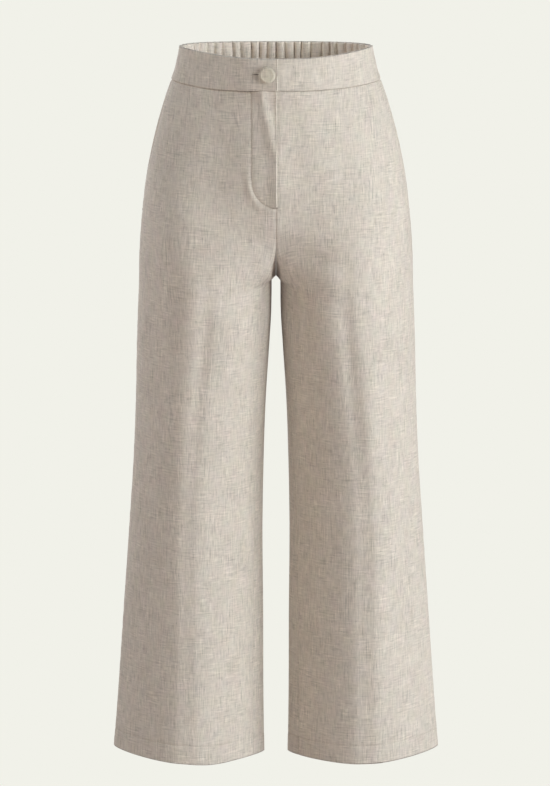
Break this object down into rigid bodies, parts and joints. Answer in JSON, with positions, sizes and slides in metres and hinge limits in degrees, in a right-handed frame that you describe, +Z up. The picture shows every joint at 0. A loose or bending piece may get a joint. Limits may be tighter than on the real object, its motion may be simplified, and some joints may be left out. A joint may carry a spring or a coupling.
{
  "type": "palazzo trousers",
  "caption": "High-waisted wide-leg trousers, filled out and hollow, with a flat front band, a covered button, a J-shaped fly and a gathered back band.",
  "frame": {"origin": "middle of the waist opening, half way up the waistband at the sides, where the wearer's waist holds the trousers", "axes": "+Z up, the front faces -Y, the wearer's left is at +X"},
  "size_m": [0.433, 0.2455, 0.9441],
  "materials": {
    "linen": "matte oatmeal linen with slubs",
    "band_linen": "matte oatmeal linen with slubs, interlined",
    "button_linen": "matte oatmeal linen stretched over a domed button"
  },
  "bodies": {
    "root": {"front_left": "linen", "front_right": "linen", "back_left": "linen", "back_right": "linen", "waistband_front_left": "band_linen", "waistband_front_right": "band_linen", "waistband_back": "band_linen", "fly_placket": "linen", "pocket_facing_left": "linen", "pocket_facing_right": "linen", "button": "button_linen"}
  },
  "joints": []
}
